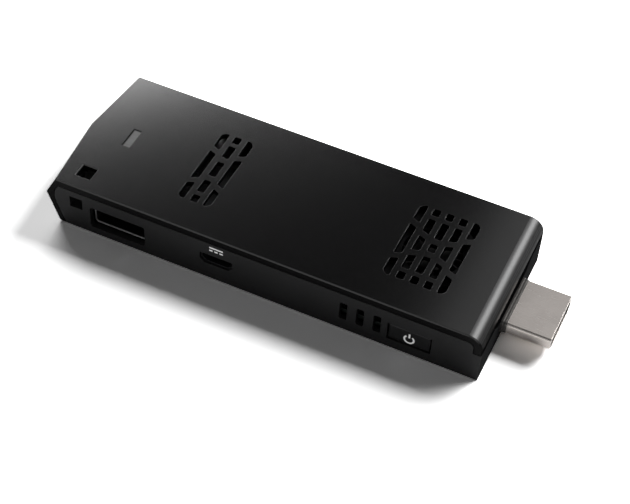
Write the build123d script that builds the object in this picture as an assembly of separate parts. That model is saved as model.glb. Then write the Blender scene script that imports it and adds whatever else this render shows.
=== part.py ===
"""Stick computer with a display plug: a folded cover over a tray that holds board, blower and sockets.

Millimetres. X runs from the folded end to the plug, -Y is the side with the power button, +Z is up.
The origin lies under the middle of the outline, plug included, on the underside.
"""
import os
from math import asin, atan, cos, degrees, pi, radians, sin, sqrt

from build123d import *

os.makedirs("parts", exist_ok=True)

# Whole body
body_length = 103.4
body_width = 37.6
body_height = 12.5
plug_reach = 11.1

# Shared clearances
overrun = 1.0
seam_gap = 0.15
running_gap = 0.05
fit_gap = 0.02
port_gap = 0.1

# Folded end: a ridge across the end, drawn back evenly towards both sides
fold_height = 7.8
fold_sweep = 1.8
fold_top_inset = 2.5
fold_bottom_inset = 2.9
fold_band = 1.25
fold_inner_radius = 5.5
fold_round_share = 0.8
fold_foot_radius = 0.9
fold_ridge_radius = 0.3
fold_block = 15.0

# Cover: a band over the top and both ends, thinner between its two skirts
roll_radius = 3.4
top_band = 1.8
top_plate = 1.2
skirt = 1.1
cover_edge_break = 0.25
pocket_from_fold = 8.0
lip_height = 7.8
lip_dip_height = 6.2
lip_dip_width = 15.4
lip_slope_width = 4.0

# Tray
wall = 1.2
tray_floor = 1.2
end_lip = 0.8
rim_width = 0.7
rim_root = 0.8
rim_from_fold = 8.4
rim_from_end = 5.0

# Vents in the top, measured from the fold and from the middle line
vent_inset = 7.75
vent_slot_width = 1.75
vent_pitch = 3.08
vent_slot_break = 0.25
small_vent_from_fold = 33.65
large_vent_from_end = 18.8
cross_rib = 1.1
cross_rib_share = 0.756
waist_rib = 1.6
waist_shares = [0.471, 0.258, 0.181]
small_waist_shares = [0.471, 0.285]
slot_slant = 0.7
vent_corner_cut = 0.95

# Side vents
side_slot_width = 1.75
side_slot_height = 4.9
side_slot_rise = 5.5
side_slot_pitch = 3.83
side_slot_count = 3
side_slots_from_end = 26.75
side_slot_break = 0.25

# Status window
window_from_fold = 12.6
window_width = 2.0
window_length = 5.8
window_flange = 0.6
window_flange_height = 0.6
window_stem_length = 3.0

# Lanyard passage at the corner of the folded end
lanyard_from_fold = 9.15
lanyard_hole = 3.4
lanyard_inset = 3.4
lanyard_side_width = 3.1
lanyard_side_bottom = 5.95
lanyard_side_cover = 1.8
lanyard_wall = 0.9
lanyard_edge_break = 0.2

# Board
board_thickness = 1.0
board_top = 4.4
board_side_gap = 0.4
board_from_fold = 26.2
board_tail_from_fold = 11.0
board_tail_gap = 0.65
board_end_gap = 0.5

# Screws that hold cover, board and tray together
screw_radius = 0.9
screw_head_radius = 1.8
screw_head_height = 1.1
screw_length = 7.4
screw_head_recess = 0.3
screw_socket_radius = 0.85
socket_sides = 6
shank_sides = 8
small_round_sides = 16
tiny_round_sides = 12
ring_sides = 24
screw_socket_depth = 0.6
screw_inset = 5.1
first_screw_from_fold = 32.6
last_screw_from_end = 5.8
cover_boss_radius = 2.1
tray_boss_radius = 2.9

# Display plug, wide side up
plug_width = 13.9
plug_height = 4.45
plug_rise = 1.63
plug_side = 2.7
plug_lower_inset = 1.7
plug_round = 0.6
plug_shell_wall = 0.35
plug_inside_length = 6.9
plug_mouth_depth = 0.5
plug_slot_width = 11.6
plug_slot_height = 1.5
plug_slot_depth = 7.0
plug_tab_length = 2.6
plug_tab_width = 1.3
plug_tab_height = 0.35
plug_contact_width = 0.45
plug_contact_height = 0.2
plug_contact_pitch = 1.0
plug_contact_tail = 0.8
plug_upper_contacts = 10
plug_lower_contacts = 9
collar_sleeve = 0.08
collar_length = 1.4
collar_ridge = 0.22
collar_ridge_length = 0.5
collar_second_ridge = 0.14
collar_second_place = 0.85
collar_second_length = 0.25

# Full-size data sockets
usb_from_fold = 19.25
usb_width = 13.1
usb_height = 5.7
usb_rise = 1.95
usb_middle_gap = 7.7
usb_set_back = 1.75
usb_shell_wall = 0.3
usb_round = 0.9
usb_opening_width = 13.4
usb_opening_height = 5.75
usb_opening_round = 0.6
usb_tongue_width = 11.3
usb_tongue_thickness = 1.85
usb_tongue_set_back = 1.3
usb_tongue_drop = 0.65
usb_back_block = 3.4
usb_contact_width = 1.0
usb_contact_thickness = 0.2
usb_contact_pitch = 2.3
usb_contact_count = 4
usb_contact_set_back = 1.0
usb_contact_tail = 0.9
usb_contact_foot = 0.35
usb_tab_width = 1.4
usb_tab_length = 2.2
usb_tab_height = 0.3

# Power socket
power_socket_from_fold = 43.2
power_socket_width = 7.6
power_socket_height = 2.6
power_socket_chamfer = 0.95
power_socket_depth = 5.2
power_socket_set_back = 0.5
power_socket_wall = 0.25
power_socket_back = 1.2
power_tongue_width = 3.9
power_tongue_thickness = 0.6
power_tongue_set_back = 0.9
power_contact_count = 5
power_contact_pitch = 0.65
power_contact_width = 0.3
power_contact_thickness = 0.12
power_contact_tail = 0.7

# Memory card slot on the underside of the board
card_slot_from_fold = 50.0
card_slot_width = 12.4
card_slot_depth = 14.6
card_slot_height = 1.6
card_slot_wall = 0.2
card_slot_set_back = 0.3
card_base_height = 0.3
card_opening_width = 12.0
card_opening_height = 1.3
card_stop_depth = 2.6
card_contact_count = 8
card_contact_pitch = 1.1
card_contact_width = 0.5
card_contact_length = 4.0
card_contact_thickness = 0.12

# Power button and the switch behind it
button_from_end = 15.65
button_opening_width = 9.9
button_opening_height = 4.8
button_rise = 4.8
button_gap = 0.25
button_recess = 0.2
button_edge_round = 0.35
button_flange = 0.8
button_flange_thickness = 0.6
button_nub = 1.6
button_nub_length = 0.7
plunger_width = 1.8
plunger_height = 1.1
plunger_length = 1.6
plunger_rise = 1.5
switch_width = 4.6
switch_height = 2.6
switch_depth = 3.2
switch_back = 0.6
board_button_notch = 2.2

# Chips and small parts on the board
processor_from_fold = 52.0
processor_side = 17.0
processor_height = 0.9
die_width = 9.2
die_length = 8.0
die_height = 0.4
pad_side = 12.0
pad_height = 0.5
memory_end_gap = 0.8
memory_middle_gap = 1.2
memory_post_gap = 0.6
memory_width = 8.0
memory_height = 1.0
storage_from_fold = 63.0
storage_width = 11.5
storage_length = 13.0
storage_height = 1.0
storage_place = 3.0
power_chip_from_fold = 50.0
power_chip_side = 6.0
power_chip_height = 0.9
power_chip_place = 8.0
inductor_side = 3.6
inductor_height = 1.7
inductor_count = 4
inductor_pitch = 4.3
inductors_end_gap = 3.55
inductors_inset = 5.2
inductor_chamfer = 0.6
capacitor_length = 1.6
capacitor_width = 0.8
capacitor_height = 0.8
capacitor_count = 6
capacitor_pitch = 2.4
capacitors_from_fold = 54.0
capacitors_gap = 1.5
crystal_length = 3.2
crystal_width = 2.5
crystal_height = 0.8
crystal_from_fold = 37.0
crystal_gap = 2.25

# Wireless module with its two leads and aerials
module_from_fold = 33.6
module_width = 12.0
module_length = 16.0
module_thickness = 0.6
shield_width = 8.6
shield_margin = 0.4
shield_height = 1.3
shield_wall = 0.2
aerial_socket_radius = 1.0
aerial_socket_height = 0.5
aerial_socket_inset = 1.6
aerial_plug_radius = 1.25
aerial_plug_height = 0.9
aerial_lead_radius = 0.4
carrier_from_fold = 7.1
carrier_width = 3.6
carrier_inset = 9.3
carrier_drop = 2.5
carrier_wall = 0.8
aerial_thickness = 0.25
aerial_end_gap = 0.2
aerial_gap = 1.4
aerial_slot = 0.7
aerial_slot_root = 2.0
aerial_margin = 0.3

# Status lamp
lamp_length = 1.6
lamp_width = 0.8
lamp_height = 0.6
lamp_gap = 0.2

# Heat spreader and fins
spreader_thickness = 0.8
spreader_socket_gap = 0.7
spreader_fin_gap = 0.95
spreader_inset = 4.5
spreader_corner = 1.5
arm_start = 2.4
arm_width = 4.6
fin_count = 9
fin_thickness = 0.3
fin_gap = 0.2
fin_depth = 5.9
fin_drop = 0.7
fin_cap = 0.3
standoff_radius = 1.1
standoff_hole = 0.55
standoff_inset = 1.4
spreader_screw_radius = 0.5
spreader_screw_head = 1.2
spreader_screw_head_height = 0.5
spreader_screw_length = 2.2

# Blower
blower_slack_share = 0.3265
scroll_start = 8.9
scroll_step = 1.13
scroll_wall = 0.7
tongue_offset = 3.0
outlet_gap = 0.3
blower_base = 0.8
blower_drop = 0.5
blower_lid = 0.6
intake_radius = 6.6
ear_radius = 1.7
ear_height = 1.0
ear_hole = 0.65
ear_angles = (-40, 150)
ear_screw_radius = 0.55
ear_screw_head = 1.2
ear_screw_head_height = 0.5
hub_radius = 4.3
hub_wall = 0.6
rotor_gap = 0.45
blade_count = 17
blade_reach = 8.1
blade_thickness = 0.4
blade_lean = 24
blade_top_gap = 0.5
shaft_radius = 0.6
shaft_boss = 1.1
shaft_boss_height = 0.6
magnet_thickness = 0.55
magnet_rise = 1.1
bearing_radius = 1.3
bearing_recess = 0.2
post_wall = 0.45
post_gap = 0.75
stator_radius = 2.8
stator_height = 1.6
stator_poles = 6
stator_pole_width = 0.9
stator_core = 0.3
lead_radius = 0.5
wire_sides = 7
header_width = 3.4
header_depth = 2.2
header_height = 1.6
header_from_blower = 14.0
header_inset = 4.0
fan_lead_angle = 120
fan_lead_run = 2.32

# Places worked out from the sizes above
left = -(body_length + plug_reach) / 2
right = left + body_length
tip = right + plug_reach
near = -body_width / 2
far = body_width / 2
top = body_height
seam = top - top_band
plate_under = top - top_plate
board_under = board_top - board_thickness
chip_top = board_top + processor_height + die_height
spreader_under = chip_top + pad_height
spreader_top = spreader_under + spreader_thickness
vent_half = far - vent_inset
cross_place = vent_half * cross_rib_share
side_slots_x = right - side_slots_from_end
usb_depth = far - usb_middle_gap / 2 - usb_set_back
board_tail_width = usb_middle_gap - board_tail_gap - board_tail_gap
carrier_top = seam - carrier_drop
carrier_length = body_width - carrier_inset - carrier_inset
aerial_length = (carrier_length - aerial_gap) / 2 - aerial_end_gap
aerial_slot_length = aerial_length - aerial_slot_root
fin_half = ((side_slot_count - 1) * side_slot_pitch + side_slot_width) / 2
fin_x = (side_slots_x - fin_half, side_slots_x + fin_half)
fin_y = (near + wall + rim_width + fin_gap, near + wall + rim_width + fin_gap + fin_depth)
fin_top = plate_under - fin_drop
arm_y = (near + arm_start, near + arm_start + arm_width)
spreader_x = (left + power_socket_from_fold + power_socket_width / 2 + spreader_socket_gap, fin_x[0] - spreader_fin_gap)
spreader_width = body_width - spreader_inset - spreader_inset
standoff_y = spreader_width / 2 - standoff_inset
blower_x = right - large_vent_from_end
blower_top = plate_under - blower_drop
blower_floor = board_top + blower_base
lid_under = blower_top - blower_lid
outlet_y = fin_y[1] + outlet_gap
blower_low = outlet_y + scroll_start * cos(asin(tongue_offset / scroll_start))
blower_slack = far - wall - rim_width - (scroll_start + scroll_step + scroll_wall) - blower_low
blower_place = blower_low + blower_slack * blower_slack_share
rotor_base = blower_floor + rotor_gap
hub_top = lid_under - blade_top_gap / 2
hub_under = hub_top - hub_wall
magnet_height = hub_under - rotor_base - magnet_rise
post_height = hub_under - shaft_boss_height - blower_floor - post_gap
bearing_height = post_height - bearing_recess
header_x = blower_x - header_from_blower
header_place = far - header_inset


def span(centre, size):
    """Low and high ends of a size set about its middle."""
    return (centre - size / 2, centre + size / 2)


def rise(low, size):
    """Low and high ends of a size that stands on a level."""
    return (low, low + size)


def block(x, y, z):
    """Box between a low and a high end on each axis."""
    size = Box(x[1] - x[0], y[1] - y[0], z[1] - z[0])
    return Pos((x[0] + x[1]) / 2, (y[0] + y[1]) / 2, (z[0] + z[1]) / 2) * size


def post(x, y, z, radius):
    """Upright round bar between two levels."""
    return Pos(x, y, (z[0] + z[1]) / 2) * Cylinder(radius, z[1] - z[0])


def bar(x, y, z, radius, sides):
    """Upright bar of a few flat sides between two levels."""
    return upright(Pos(x, y) * RegularPolygon(radius, sides), *z)


def row(centre, pitch, count):
    """Evenly pitched places about a middle."""
    first = centre - pitch * (count - 1) / 2
    return [first + pitch * number for number in range(count)]


def group(solids):
    """Separate solids kept together as one sub-part."""
    return Compound([piece for solid in solids for piece in solid.solids()])


def along_y(outline, low, high):
    """Carry an outline drawn in X and Z from one Y to another."""
    face = Pos(0, low, 0) * (Plane.XZ * outline)
    return Solid.extrude(face.faces()[0], Vector(0, high - low, 0))


def along_x(outline, low, high):
    """Carry an outline drawn in Y and Z from one X to another."""
    face = Pos(low, 0, 0) * (Plane.YZ * outline)
    return Solid.extrude(face.faces()[0], Vector(high - low, 0, 0))


def upright(outline, low, high):
    """Carry an outline drawn in X and Y from one level to another."""
    face = Pos(0, 0, low) * outline
    return Solid.extrude(face.faces()[0], Vector(0, 0, high - low))


def polygon(points, radii=None):
    """Closed flat outline, with a radius for each corner where one is given."""
    if radii is None:
        return make_face(Polyline(*points, close=True))
    return make_face(FilletPolyline(*points, radius=radii, close=True))


def rounded(x, y, radius):
    """Rectangle between two ends on each axis, with round corners."""
    corners = [(x[0], y[0]), (x[1], y[0]), (x[1], y[1]), (x[0], y[1])]
    return polygon(corners, [radius] * len(corners))


# Side outline and its sweep


def side_outline(fold_inset, top_inset, end_inset, base=0, ridge_round=0, rolled=True, foot_round=0):
    """Side outline of the body, set in from the fold, from the top and from the plug end."""
    lean_up = fold_top_inset / (top - fold_height)
    lean_down = fold_bottom_inset / fold_height
    set_up = fold_inset * sqrt(1 + lean_up**2)
    set_down = fold_inset * sqrt(1 + lean_down**2)
    ridge = fold_height + (set_down - set_up) / (lean_up + lean_down)
    ceiling = top - top_inset
    corners = [
        (left + lean_down * (fold_height - base) + set_down, base),
        (right - end_inset, base),
        (right - end_inset, ceiling),
        (left + lean_up * (ceiling - fold_height) + set_up, ceiling),
        (left + lean_up * (ridge - fold_height) + set_up, ridge),
    ]
    roll = roll_radius - top_inset if rolled else 0
    limb = min(ridge - base, ceiling - ridge) * fold_round_share
    turn = (atan(lean_up) + atan(lean_down)) / 2
    return polygon(corners, [foot_round, 0, roll, 0, min(ridge_round, limb * cos(turn) / sin(turn))])


def swept(outline, reach=body_width / 2):
    """Carry a side outline to both sides, drawing the folded end back evenly towards them."""
    face = (Plane.XZ * outline).faces()[0]
    sweep = fold_sweep * reach / (body_width / 2)
    join = left + fold_block
    levels = (-body_height, body_height + body_height)
    bent = Solid.extrude(face, Vector(sweep, -reach, 0)) + Solid.extrude(face, Vector(sweep, reach, 0))
    folded = bent & block((left - body_height, join), (-reach, reach), levels)
    straight = along_y(outline, -reach, reach) & block((join, right + overrun), (-reach, reach), levels)
    return folded + straight


def end_line(shift, edge):
    """Area of the plug end between the dipping seam line, moved by a shift, and a level edge."""
    high = lip_height + shift
    low = lip_dip_height + shift
    inner = lip_dip_width / 2
    outer = inner + lip_slope_width
    middle = (inner + outer) / 2
    side = far + overrun
    line = [
        Line((-side, edge), (-side, high)),
        Line((-side, high), (-outer, high)),
        Bezier((-outer, high), (-middle, high), (-middle, low), (-inner, low)),
        Line((-inner, low), (inner, low)),
        Bezier((inner, low), (middle, low), (middle, high), (outer, high)),
        Line((outer, high), (side, high)),
        Line((side, high), (side, edge)),
        Line((side, edge), (-side, edge)),
    ]
    return make_face(line)


# Vents


def vent_slot(x, low, high, slants, cut):
    """One slot of a top vent. Slants tilt its ends, and a cut takes a corner off its outer side."""
    half = vent_slot_width / 2
    tilt_low, tilt_high = slants
    corners = [(x - half, low - tilt_low / 2), (x + half, low + tilt_low / 2)]
    corners += [(x + half, high + tilt_high / 2), (x - half, high - tilt_high / 2)]
    if cut == (-1, -1):
        corners[0:1] = [(x - half, low + vent_corner_cut), (x, low)]
    if cut == (1, -1):
        corners[1:2] = [(x, low), (x + half, low + vent_corner_cut)]
    if cut == (1, 1):
        corners[2:3] = [(x + half, high - vent_corner_cut), (x, high)]
    if cut == (-1, 1):
        corners[3:4] = [(x, high), (x - half, high - vent_corner_cut)]
    return chamfer(polygon(corners).vertices(), vent_slot_break)


def vent_slots(centre, shares):
    """Slots of one top vent. Shares give the waist rib's place in each column, from the edge to the middle."""
    columns = [vent_half * share for share in shares + shares[-2::-1]]
    slots = []
    for number, place in enumerate(columns):
        offset = number - (len(columns) - 1) / 2
        x = centre + vent_pitch * offset
        side = (offset > 0) - (offset < 0)
        slant = slot_slant * side
        edge = number in (0, len(columns) - 1)
        mid_low, mid_high = -place + waist_rib / 2, place - waist_rib / 2
        out_low, out_high = place + waist_rib / 2, vent_half
        slots.append((x, mid_low, mid_high, (-slant, slant), None))
        if edge:
            slots.append((x, out_low, out_high, (slant, 0), (side, 1)))
            slots.append((x, -out_high, -out_low, (0, -slant), (side, -1)))
            continue
        rib_low, rib_high = cross_place - cross_rib / 2, cross_place + cross_rib / 2
        slots.append((x, out_low, rib_low, (slant, 0), None))
        slots.append((x, -rib_low, -out_low, (0, -slant), None))
        slots.append((x, rib_high, out_high, (0, 0), None))
        slots.append((x, -out_high, -rib_high, (0, 0), None))
    return [upright(vent_slot(*slot), seam - overrun, top + overrun) for slot in slots]


# Casing


screw_places = [
    (x, y)
    for x in (left + first_screw_from_fold, right - last_screw_from_end)
    for y in (near + screw_inset, far - screw_inset)
]


def make_cover():
    """Cover: one band over the top and both ends, with skirts, vents and screw bosses."""
    band = swept(side_outline(0, 0, 0, ridge_round=fold_ridge_radius, foot_round=fold_foot_radius))
    inside = side_outline(fold_band, top_band, top_band, -overrun, fold_inner_radius)
    band -= swept(inside, far + overrun)
    band -= along_x(end_line(0, -overrun), right - roll_radius, right + overrun)
    pocket_x = (left + pocket_from_fold, right - roll_radius)
    band -= block(pocket_x, (near + skirt, far - skirt), (seam - overrun, plate_under))
    for x, y in screw_places:
        band += bar(x, y, (board_top, plate_under), cover_boss_radius, small_round_sides)
    rims = [edge for edge in band.edges().filter_by(Axis.X) if abs(edge.center().Z - top) < fit_gap]
    rims = [edge for edge in rims if abs(abs(edge.center().Y) - far) < fit_gap]
    rims += [edge for edge in band.edges().filter_by(GeomType.CIRCLE) if edge.radius > roll_radius - fit_gap]
    band = chamfer(rims, cover_edge_break)
    for slot in vent_slots(left + small_vent_from_fold, small_waist_shares):
        band -= slot
    for slot in vent_slots(blower_x, waist_shares):
        band -= slot
    window = (span(left + window_from_fold, window_width), span(0, window_length))
    band -= block(*window, (seam - overrun, top + overrun))
    hole_x = span(left + lanyard_from_fold, lanyard_hole)
    hole_y = rise(near + lanyard_inset, lanyard_hole)
    band -= block(hole_x, hole_y, (seam - overrun, top + overrun))
    mouth = loft_ring(hole_x, hole_y, top, lanyard_edge_break)
    band -= mouth
    for x, y in screw_places:
        depth = screw_head_recess + screw_head_height + screw_length + overrun / 2
        band -= bar(x, y, (0, depth), screw_radius + fit_gap, small_round_sides)
    return band


def loft_ring(x, y, level, size):
    """Sloped edge break round a rectangular hole that opens upwards at a level."""
    low = Pos(0, 0, level - size) * rectangle(x, y)
    high = Pos(0, 0, level) * rectangle((x[0] - size, x[1] + size), (y[0] - size, y[1] + size))
    return loft([low, high])


def rectangle(x, y):
    """Rectangle between two ends on each axis."""
    return polygon([(x[0], y[0]), (x[1], y[0]), (x[1], y[1]), (x[0], y[1])])


def power_outline(x, low, margin=0):
    """Mouth outline of the power socket, wide side up, grown by a margin."""
    half = power_socket_width / 2 + margin
    cut = power_socket_chamfer
    base, ceiling = low - margin, low + power_socket_height + margin
    corners = [(x - half + cut, base), (x + half - cut, base), (x + half, base + cut)]
    corners += [(x + half, ceiling), (x - half, ceiling), (x - half, base + cut)]
    return polygon(corners)


def plug_outline(margin=0):
    """Section of the display plug in Y and Z, wide side up, grown by a margin."""
    half = plug_width / 2 + margin
    low, high = plug_rise - margin, plug_rise + plug_height + margin
    shoulder = high - plug_side - margin
    inner = half - plug_lower_inset
    corners = [(-inner, low), (inner, low), (half, shoulder), (half, high), (-half, high), (-half, shoulder)]
    return polygon(corners, [0, 0, 0, plug_round, plug_round, 0])


def make_tray():
    """Tray: floor, side walls, plug end, board bosses, lanyard passage and socket openings."""
    inset = top_band + seam_gap
    tray = swept(side_outline(fold_band + seam_gap, inset, inset, ridge_round=fold_inner_radius))
    ledge = block((right - inset - end_lip / 2, right), (near, far), (0, lip_height))
    tray += ledge - along_x(end_line(-seam_gap, top + overrun), right - inset, right + overrun)
    cavity = side_outline(fold_band + seam_gap + wall, -overrun, inset + end_lip, tray_floor,
                          fold_inner_radius - wall, rolled=False)
    tray -= swept(cavity, far - wall)
    rim_x = (left + rim_from_fold, right - rim_from_end)
    rim_z = (seam - rim_root, plate_under - seam_gap)
    for y in (rise(near + wall, rim_width), rise(far - wall - rim_width, rim_width)):
        tray += block(rim_x, y, rim_z)
    for x, y in screw_places:
        tray += bar(x, y, (tray_floor / 2, board_under), tray_boss_radius, small_round_sides)
    tray += lanyard_block()
    tray -= lanyard_channel()
    for x, y in screw_places:
        tray -= bar(x, y, (-overrun, board_top), screw_radius + port_gap, small_round_sides)
        recess = (-overrun, screw_head_recess + screw_head_height)
        tray -= bar(x, y, recess, screw_head_radius + port_gap, small_round_sides)
    tray -= tray_openings()
    slot = along_x(plug_outline(port_gap), right - inset - end_lip - overrun, right + overrun)
    tray -= slot
    chimney_y = span(0, plug_width + port_gap + port_gap)
    shoulder = plug_rise + plug_height / 2
    tray -= block((right - inset - end_lip - overrun, right + overrun), chimney_y, (shoulder, top))
    return tray


def lanyard_block():
    """Solid corner of the tray that the lanyard passage is cut through."""
    half = lanyard_hole / 2 + lanyard_wall
    x = span(left + lanyard_from_fold, half + half)
    base = lanyard_side_bottom - lanyard_wall
    depth = lanyard_inset + lanyard_hole + lanyard_wall
    outer = block(x, rise(near, depth), (base, seam - seam_gap))
    inner_x = (left + rim_from_fold, x[1])
    inner_y = (near + skirt + port_gap, near + depth)
    return outer + block(inner_x, inner_y, (base, plate_under - seam_gap))


def lanyard_channel():
    """Passage from the top hole to the side hole."""
    centre = left + lanyard_from_fold
    down_y = rise(near + lanyard_inset, lanyard_hole)
    down = block(span(centre, lanyard_hole), down_y, (lanyard_side_bottom, top))
    across_y = (near - overrun, near + lanyard_inset + lanyard_hole)
    across = block(span(centre, lanyard_side_width), across_y, (lanyard_side_bottom, seam - lanyard_side_cover))
    return down + across


def tray_openings():
    """Everything that goes through the tray's two long walls."""
    near_wall = (near - overrun, near + wall + overrun / 2)
    far_wall = (far - wall - overrun / 2, far + overrun)
    usb_z = span(usb_rise + usb_height / 2, usb_opening_height)
    usb = rounded(span(left + usb_from_fold, usb_opening_width), usb_z, usb_opening_round)
    cuts = [along_y(usb, *near_wall), along_y(usb, *far_wall)]
    power = power_outline(left + power_socket_from_fold, board_top, port_gap)
    cuts.append(along_y(power, *near_wall))
    for x in row(side_slots_x, side_slot_pitch, side_slot_count):
        slot = rectangle(span(x, side_slot_width), span(side_slot_rise, side_slot_height))
        cuts.append(along_y(chamfer(slot.vertices(), side_slot_break), *near_wall))
    button = (span(right - button_from_end, button_opening_width), span(button_rise, button_opening_height))
    cuts.append(block(button[0], near_wall, button[1]))
    card_z = span(board_under - card_slot_height / 2, card_opening_height)
    cuts.append(block(span(left + card_slot_from_fold, card_opening_width), far_wall, card_z))
    return cuts


def make_window():
    """Light guide of the status window, with a flange under the cover and a stem down to the lamp."""
    centre = left + window_from_fold
    gap = fit_gap + fit_gap
    pane = block(span(centre, window_width - gap), span(0, window_length - gap), (plate_under, top))
    flange_x = span(centre, window_width + window_flange + window_flange)
    flange_y = span(0, window_length + window_flange + window_flange)
    flange = block(flange_x, flange_y, (plate_under - window_flange_height, plate_under))
    foot = board_top + lamp_height + lamp_gap
    stem = block(span(centre, window_width), span(0, window_stem_length), (foot, plate_under))
    return pane + flange + stem


def make_case_screws():
    """Screws from below, through tray and board, into the cover's bosses."""
    screws = []
    for x, y in screw_places:
        head = bar(x, y, rise(screw_head_recess, screw_head_height), screw_head_radius, small_round_sides)
        head -= bar(x, y, (0, screw_head_recess + screw_socket_depth), screw_socket_radius, socket_sides)
        shank = rise(screw_head_recess + screw_head_height, screw_length)
        screws.append(head + bar(x, y, shank, screw_radius, shank_sides))
    return group(screws)


# Board and what is soldered to it


def spreader_posts():
    """Places of the small posts that carry the heat spreader."""
    return [(spreader_x[0] + standoff_inset, standoff_y), (spreader_x[1] - standoff_inset, -standoff_y)]


def make_board():
    """Main board with its tail between the data sockets, notches and screw holes."""
    z = (board_under, board_top)
    end = right - top_band - seam_gap - end_lip - board_end_gap
    sides = (near + wall + board_side_gap, far - wall - board_side_gap)
    board = block((left + board_from_fold, end), sides, z)
    board += block((left + board_tail_from_fold, left + board_from_fold), span(0, board_tail_width), z)
    notch_y = span(0, plug_width + board_side_gap + board_side_gap)
    board -= block((right - plug_inside_length, end + overrun), notch_y, z)
    button_x = span(right - button_from_end, button_opening_width + 4 * button_flange)
    board -= block(button_x, (near, near + wall + board_button_notch), z)
    through = (board_under - overrun, board_top + overrun)
    for x, y in screw_places:
        board -= bar(x, y, through, screw_radius + port_gap, small_round_sides)
    for x, y in blower_ears():
        board -= bar(x, y, through, ear_hole, tiny_round_sides)
    return board


def chip(x, y, size_x, size_y, z):
    """Flat package between two levels."""
    return block(span(x, size_x), span(y, size_y), z)


def make_processor():
    """Processor package."""
    return chip(left + processor_from_fold, 0, processor_side, processor_side, rise(board_top, processor_height))


def make_die():
    """Bare die on the processor package."""
    return chip(left + processor_from_fold, 0, die_width, die_length, (board_top + processor_height, chip_top))


def make_pad():
    """Heat-conducting pad between die and spreader."""
    return chip(left + processor_from_fold, 0, pad_side, pad_side, (chip_top, spreader_under))


def make_memory():
    """Two memory packages."""
    x = spreader_x[1] - memory_end_gap - memory_width / 2
    low = memory_middle_gap / 2
    length = standoff_y - standoff_radius - memory_post_gap - low
    place = low + length / 2
    z = rise(board_top, memory_height)
    return group([chip(x, y, memory_width, length, z) for y in (-place, place)])


def make_storage():
    """Storage package on the underside."""
    x = left + storage_from_fold
    return chip(x, -storage_place, storage_width, storage_length, (board_under - storage_height, board_under))


def make_power_chip():
    """Power manager package on the underside."""
    x = left + power_chip_from_fold
    return chip(x, -power_chip_place, power_chip_side, power_chip_side, (board_under - power_chip_height, board_under))


def make_inductors():
    """Row of power inductors with cut corners."""
    coils = []
    reach = (inductor_count - 1) * inductor_pitch + inductor_side
    for x in row(spreader_x[1] - inductors_end_gap - reach / 2, inductor_pitch, inductor_count):
        coil = chip(x, far - inductors_inset, inductor_side, inductor_side, rise(board_top, inductor_height))
        coils.append(chamfer(coil.edges().filter_by(Axis.Z), inductor_chamfer))
    return group(coils)


def make_capacitors():
    """Row of small capacitors."""
    z = rise(board_top, capacitor_height)
    places = row(left + capacitors_from_fold, capacitor_pitch, capacitor_count)
    return group([chip(x, -processor_side / 2 - capacitors_gap, capacitor_length, capacitor_width, z) for x in places])


def make_crystal():
    """Crystal can."""
    place = module_length / 2 + crystal_gap + crystal_width / 2
    return chip(left + crystal_from_fold, place, crystal_length, crystal_width, rise(board_top, crystal_height))


def make_lamp():
    """Status lamp under the light guide."""
    return chip(left + window_from_fold, 0, lamp_length, lamp_width, rise(board_top, lamp_height))


# Wireless


module_top = board_top + module_thickness
module_left = left + module_from_fold - module_width / 2
aerial_level = carrier_top + aerial_thickness
aerial_plug_base = module_top + aerial_socket_height
lead_place = board_tail_width / 2 - aerial_lead_radius - aerial_lead_radius / 2


def make_module():
    """Wireless module's own board."""
    return chip(left + module_from_fold, 0, module_width, module_length, (board_top, module_top))


def make_shield():
    """Metal can over most of the module, open below."""
    high = left + module_from_fold + module_width / 2 - shield_margin
    x = (high - shield_width, high)
    y = span(0, module_length - shield_margin - shield_margin)
    can = block(x, y, rise(module_top, shield_height))
    inner_x = (x[0] + shield_wall, x[1] - shield_wall)
    inner_y = (y[0] + shield_wall, y[1] - shield_wall)
    return can - block(inner_x, inner_y, (module_top, module_top + shield_height - shield_wall))


def aerial_sockets():
    """Places of the two lead sockets on the module."""
    x = module_left + aerial_socket_inset
    return [(x, -lead_place), (x, lead_place)]


def make_sockets():
    """Two round lead sockets."""
    z = rise(module_top, aerial_socket_height)
    return group([bar(x, y, z, aerial_socket_radius, tiny_round_sides) for x, y in aerial_sockets()])


def make_lead_plugs():
    """Two round caps at the ends of the aerial leads."""
    z = rise(aerial_plug_base, aerial_plug_height)
    return group([bar(x, y, z, aerial_plug_radius, tiny_round_sides) for x, y in aerial_sockets()])


def make_carrier():
    """Moulded bench across the folded end that holds both aerials."""
    x = span(left + carrier_from_fold + carrier_width / 2, carrier_width)
    bench = block(x, span(0, carrier_length), (tray_floor, carrier_top))
    hollow_y = span(0, carrier_length - carrier_wall - carrier_wall)
    return bench - block((x[0] - overrun, x[1] - carrier_wall), hollow_y, (tray_floor, carrier_top - carrier_wall))


def aerial(side):
    """One stamped aerial with a long slot, on one half of the bench."""
    centre = left + carrier_from_fold + carrier_width / 2
    middle = side * (aerial_gap + aerial_length) / 2
    x = span(centre, carrier_width - aerial_margin - aerial_margin)
    plate = block(x, span(middle, aerial_length), (carrier_top, aerial_level))
    slot_low = middle + side * (aerial_length / 2 - aerial_slot_length)
    slot_y = sorted((slot_low, middle + side * (aerial_length / 2 + overrun)))
    return plate - block(span(centre, aerial_slot), slot_y, (carrier_top - overrun, aerial_level + overrun))


def aerial_lead(side):
    """Thin lead from one aerial down to its plug on the module, over the board's tail."""
    start = left + carrier_from_fold + carrier_width / 2 + aerial_slot
    end = module_left + aerial_socket_inset - aerial_plug_radius - fit_gap
    high = aerial_level + aerial_lead_radius
    low = aerial_plug_base + aerial_plug_height / 2
    y = side * lead_place
    leave, land = [start + (end - start) * share for share in lead_shares]
    points = [(start, y, high), (leave, y, high), (land, y, low), (end, y, low)]
    return wire_tube(points, aerial_lead_radius)


lead_shares = (0.34, 0.66)
bend_share = 0.45


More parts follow.
